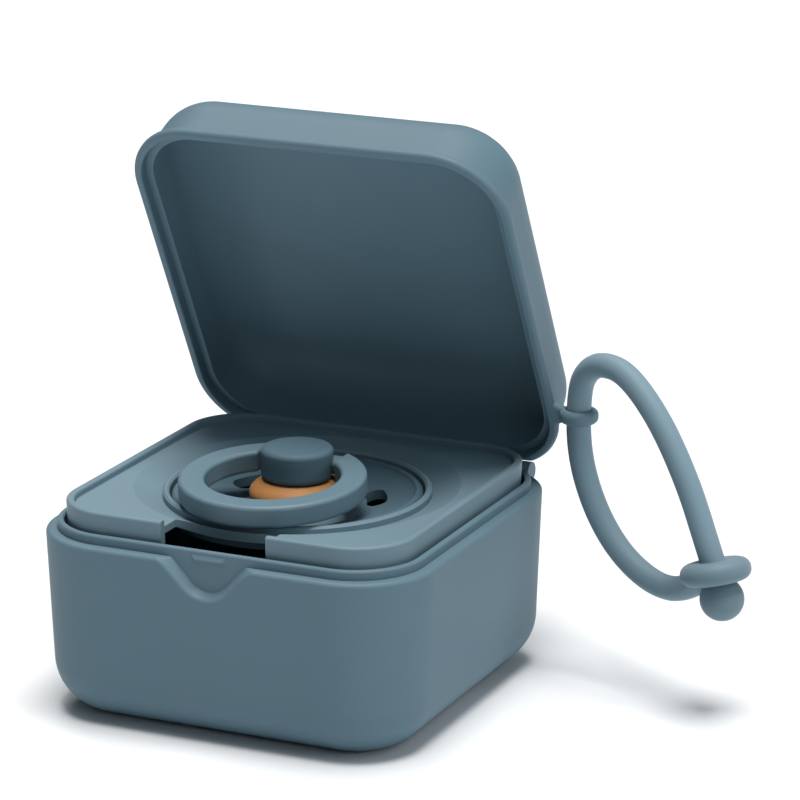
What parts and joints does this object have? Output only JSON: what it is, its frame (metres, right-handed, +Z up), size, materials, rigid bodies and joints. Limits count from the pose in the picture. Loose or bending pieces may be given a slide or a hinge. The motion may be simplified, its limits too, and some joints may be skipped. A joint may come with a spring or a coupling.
{
  "type": "pacifier sterilizer case",
  "caption": "Square hinged plastic case with a steam tray that holds a pacifier for sterilizing in a microwave, with a silicone loop strap to hang it up.",
  "frame": {"origin": "centre of the flat underside that the case stands on", "axes": "+Z up, -Y to the front with the thumb scoop, +Y to the hinge, +X to the side with the strap; the lid stands open as at rest"},
  "size_m": [0.1079, 0.0786, 0.0939],
  "materials": {
    "case": "satin",
    "pin": "satin",
    "tray": "satin",
    "strap": "matte",
    "pacifier": "satin",
    "latex": "satin"
  },
  "bodies": {
    "base": {"base_shell": "case", "hinge_pin": "pin"},
    "lid": {"lid_shell": "case"},
    "strap": {"strap_cord": "strap", "strap_ball": "strap", "strap_button": "strap"},
    "tray": {"steam_tray": "tray"},
    "pacifier": {"pacifier_shield": "pacifier", "pacifier_nipple": "latex", "pacifier_plug": "pacifier", "pacifier_knob": "pacifier"},
    "ring": {"pacifier_ring": "pacifier"}
  },
  "joints": [
    {"name": "lid_hinge", "type": "hinge", "parent": "base", "child": "lid", "pos_m": [0, 0.034, 0.03035], "axis": [-1, 0, 0], "range_deg": [-62.6, 52.4]},
    {"name": "strap_swivel", "type": "hinge", "parent": "lid", "child": "strap", "pos_m": [0.038, 0.02912, 0.04292], "axis": [0, 0, 1], "range_deg": [-5, 90]},
    {"name": "tray_lift", "type": "slide", "parent": "base", "child": "tray", "axis": [0, 0, 1], "range_m": [0, 0.026]},
    {"name": "pacifier_lift", "type": "slide", "parent": "tray", "child": "pacifier", "axis": [0, 0, 1], "range_m": [0, 0.032]},
    {"name": "ring_fold", "type": "hinge", "parent": "pacifier", "child": "ring", "pos_m": [0, 0.0027, 0.0377], "axis": [-1, 0, 0], "range_deg": [0, 90]}
  ]
}
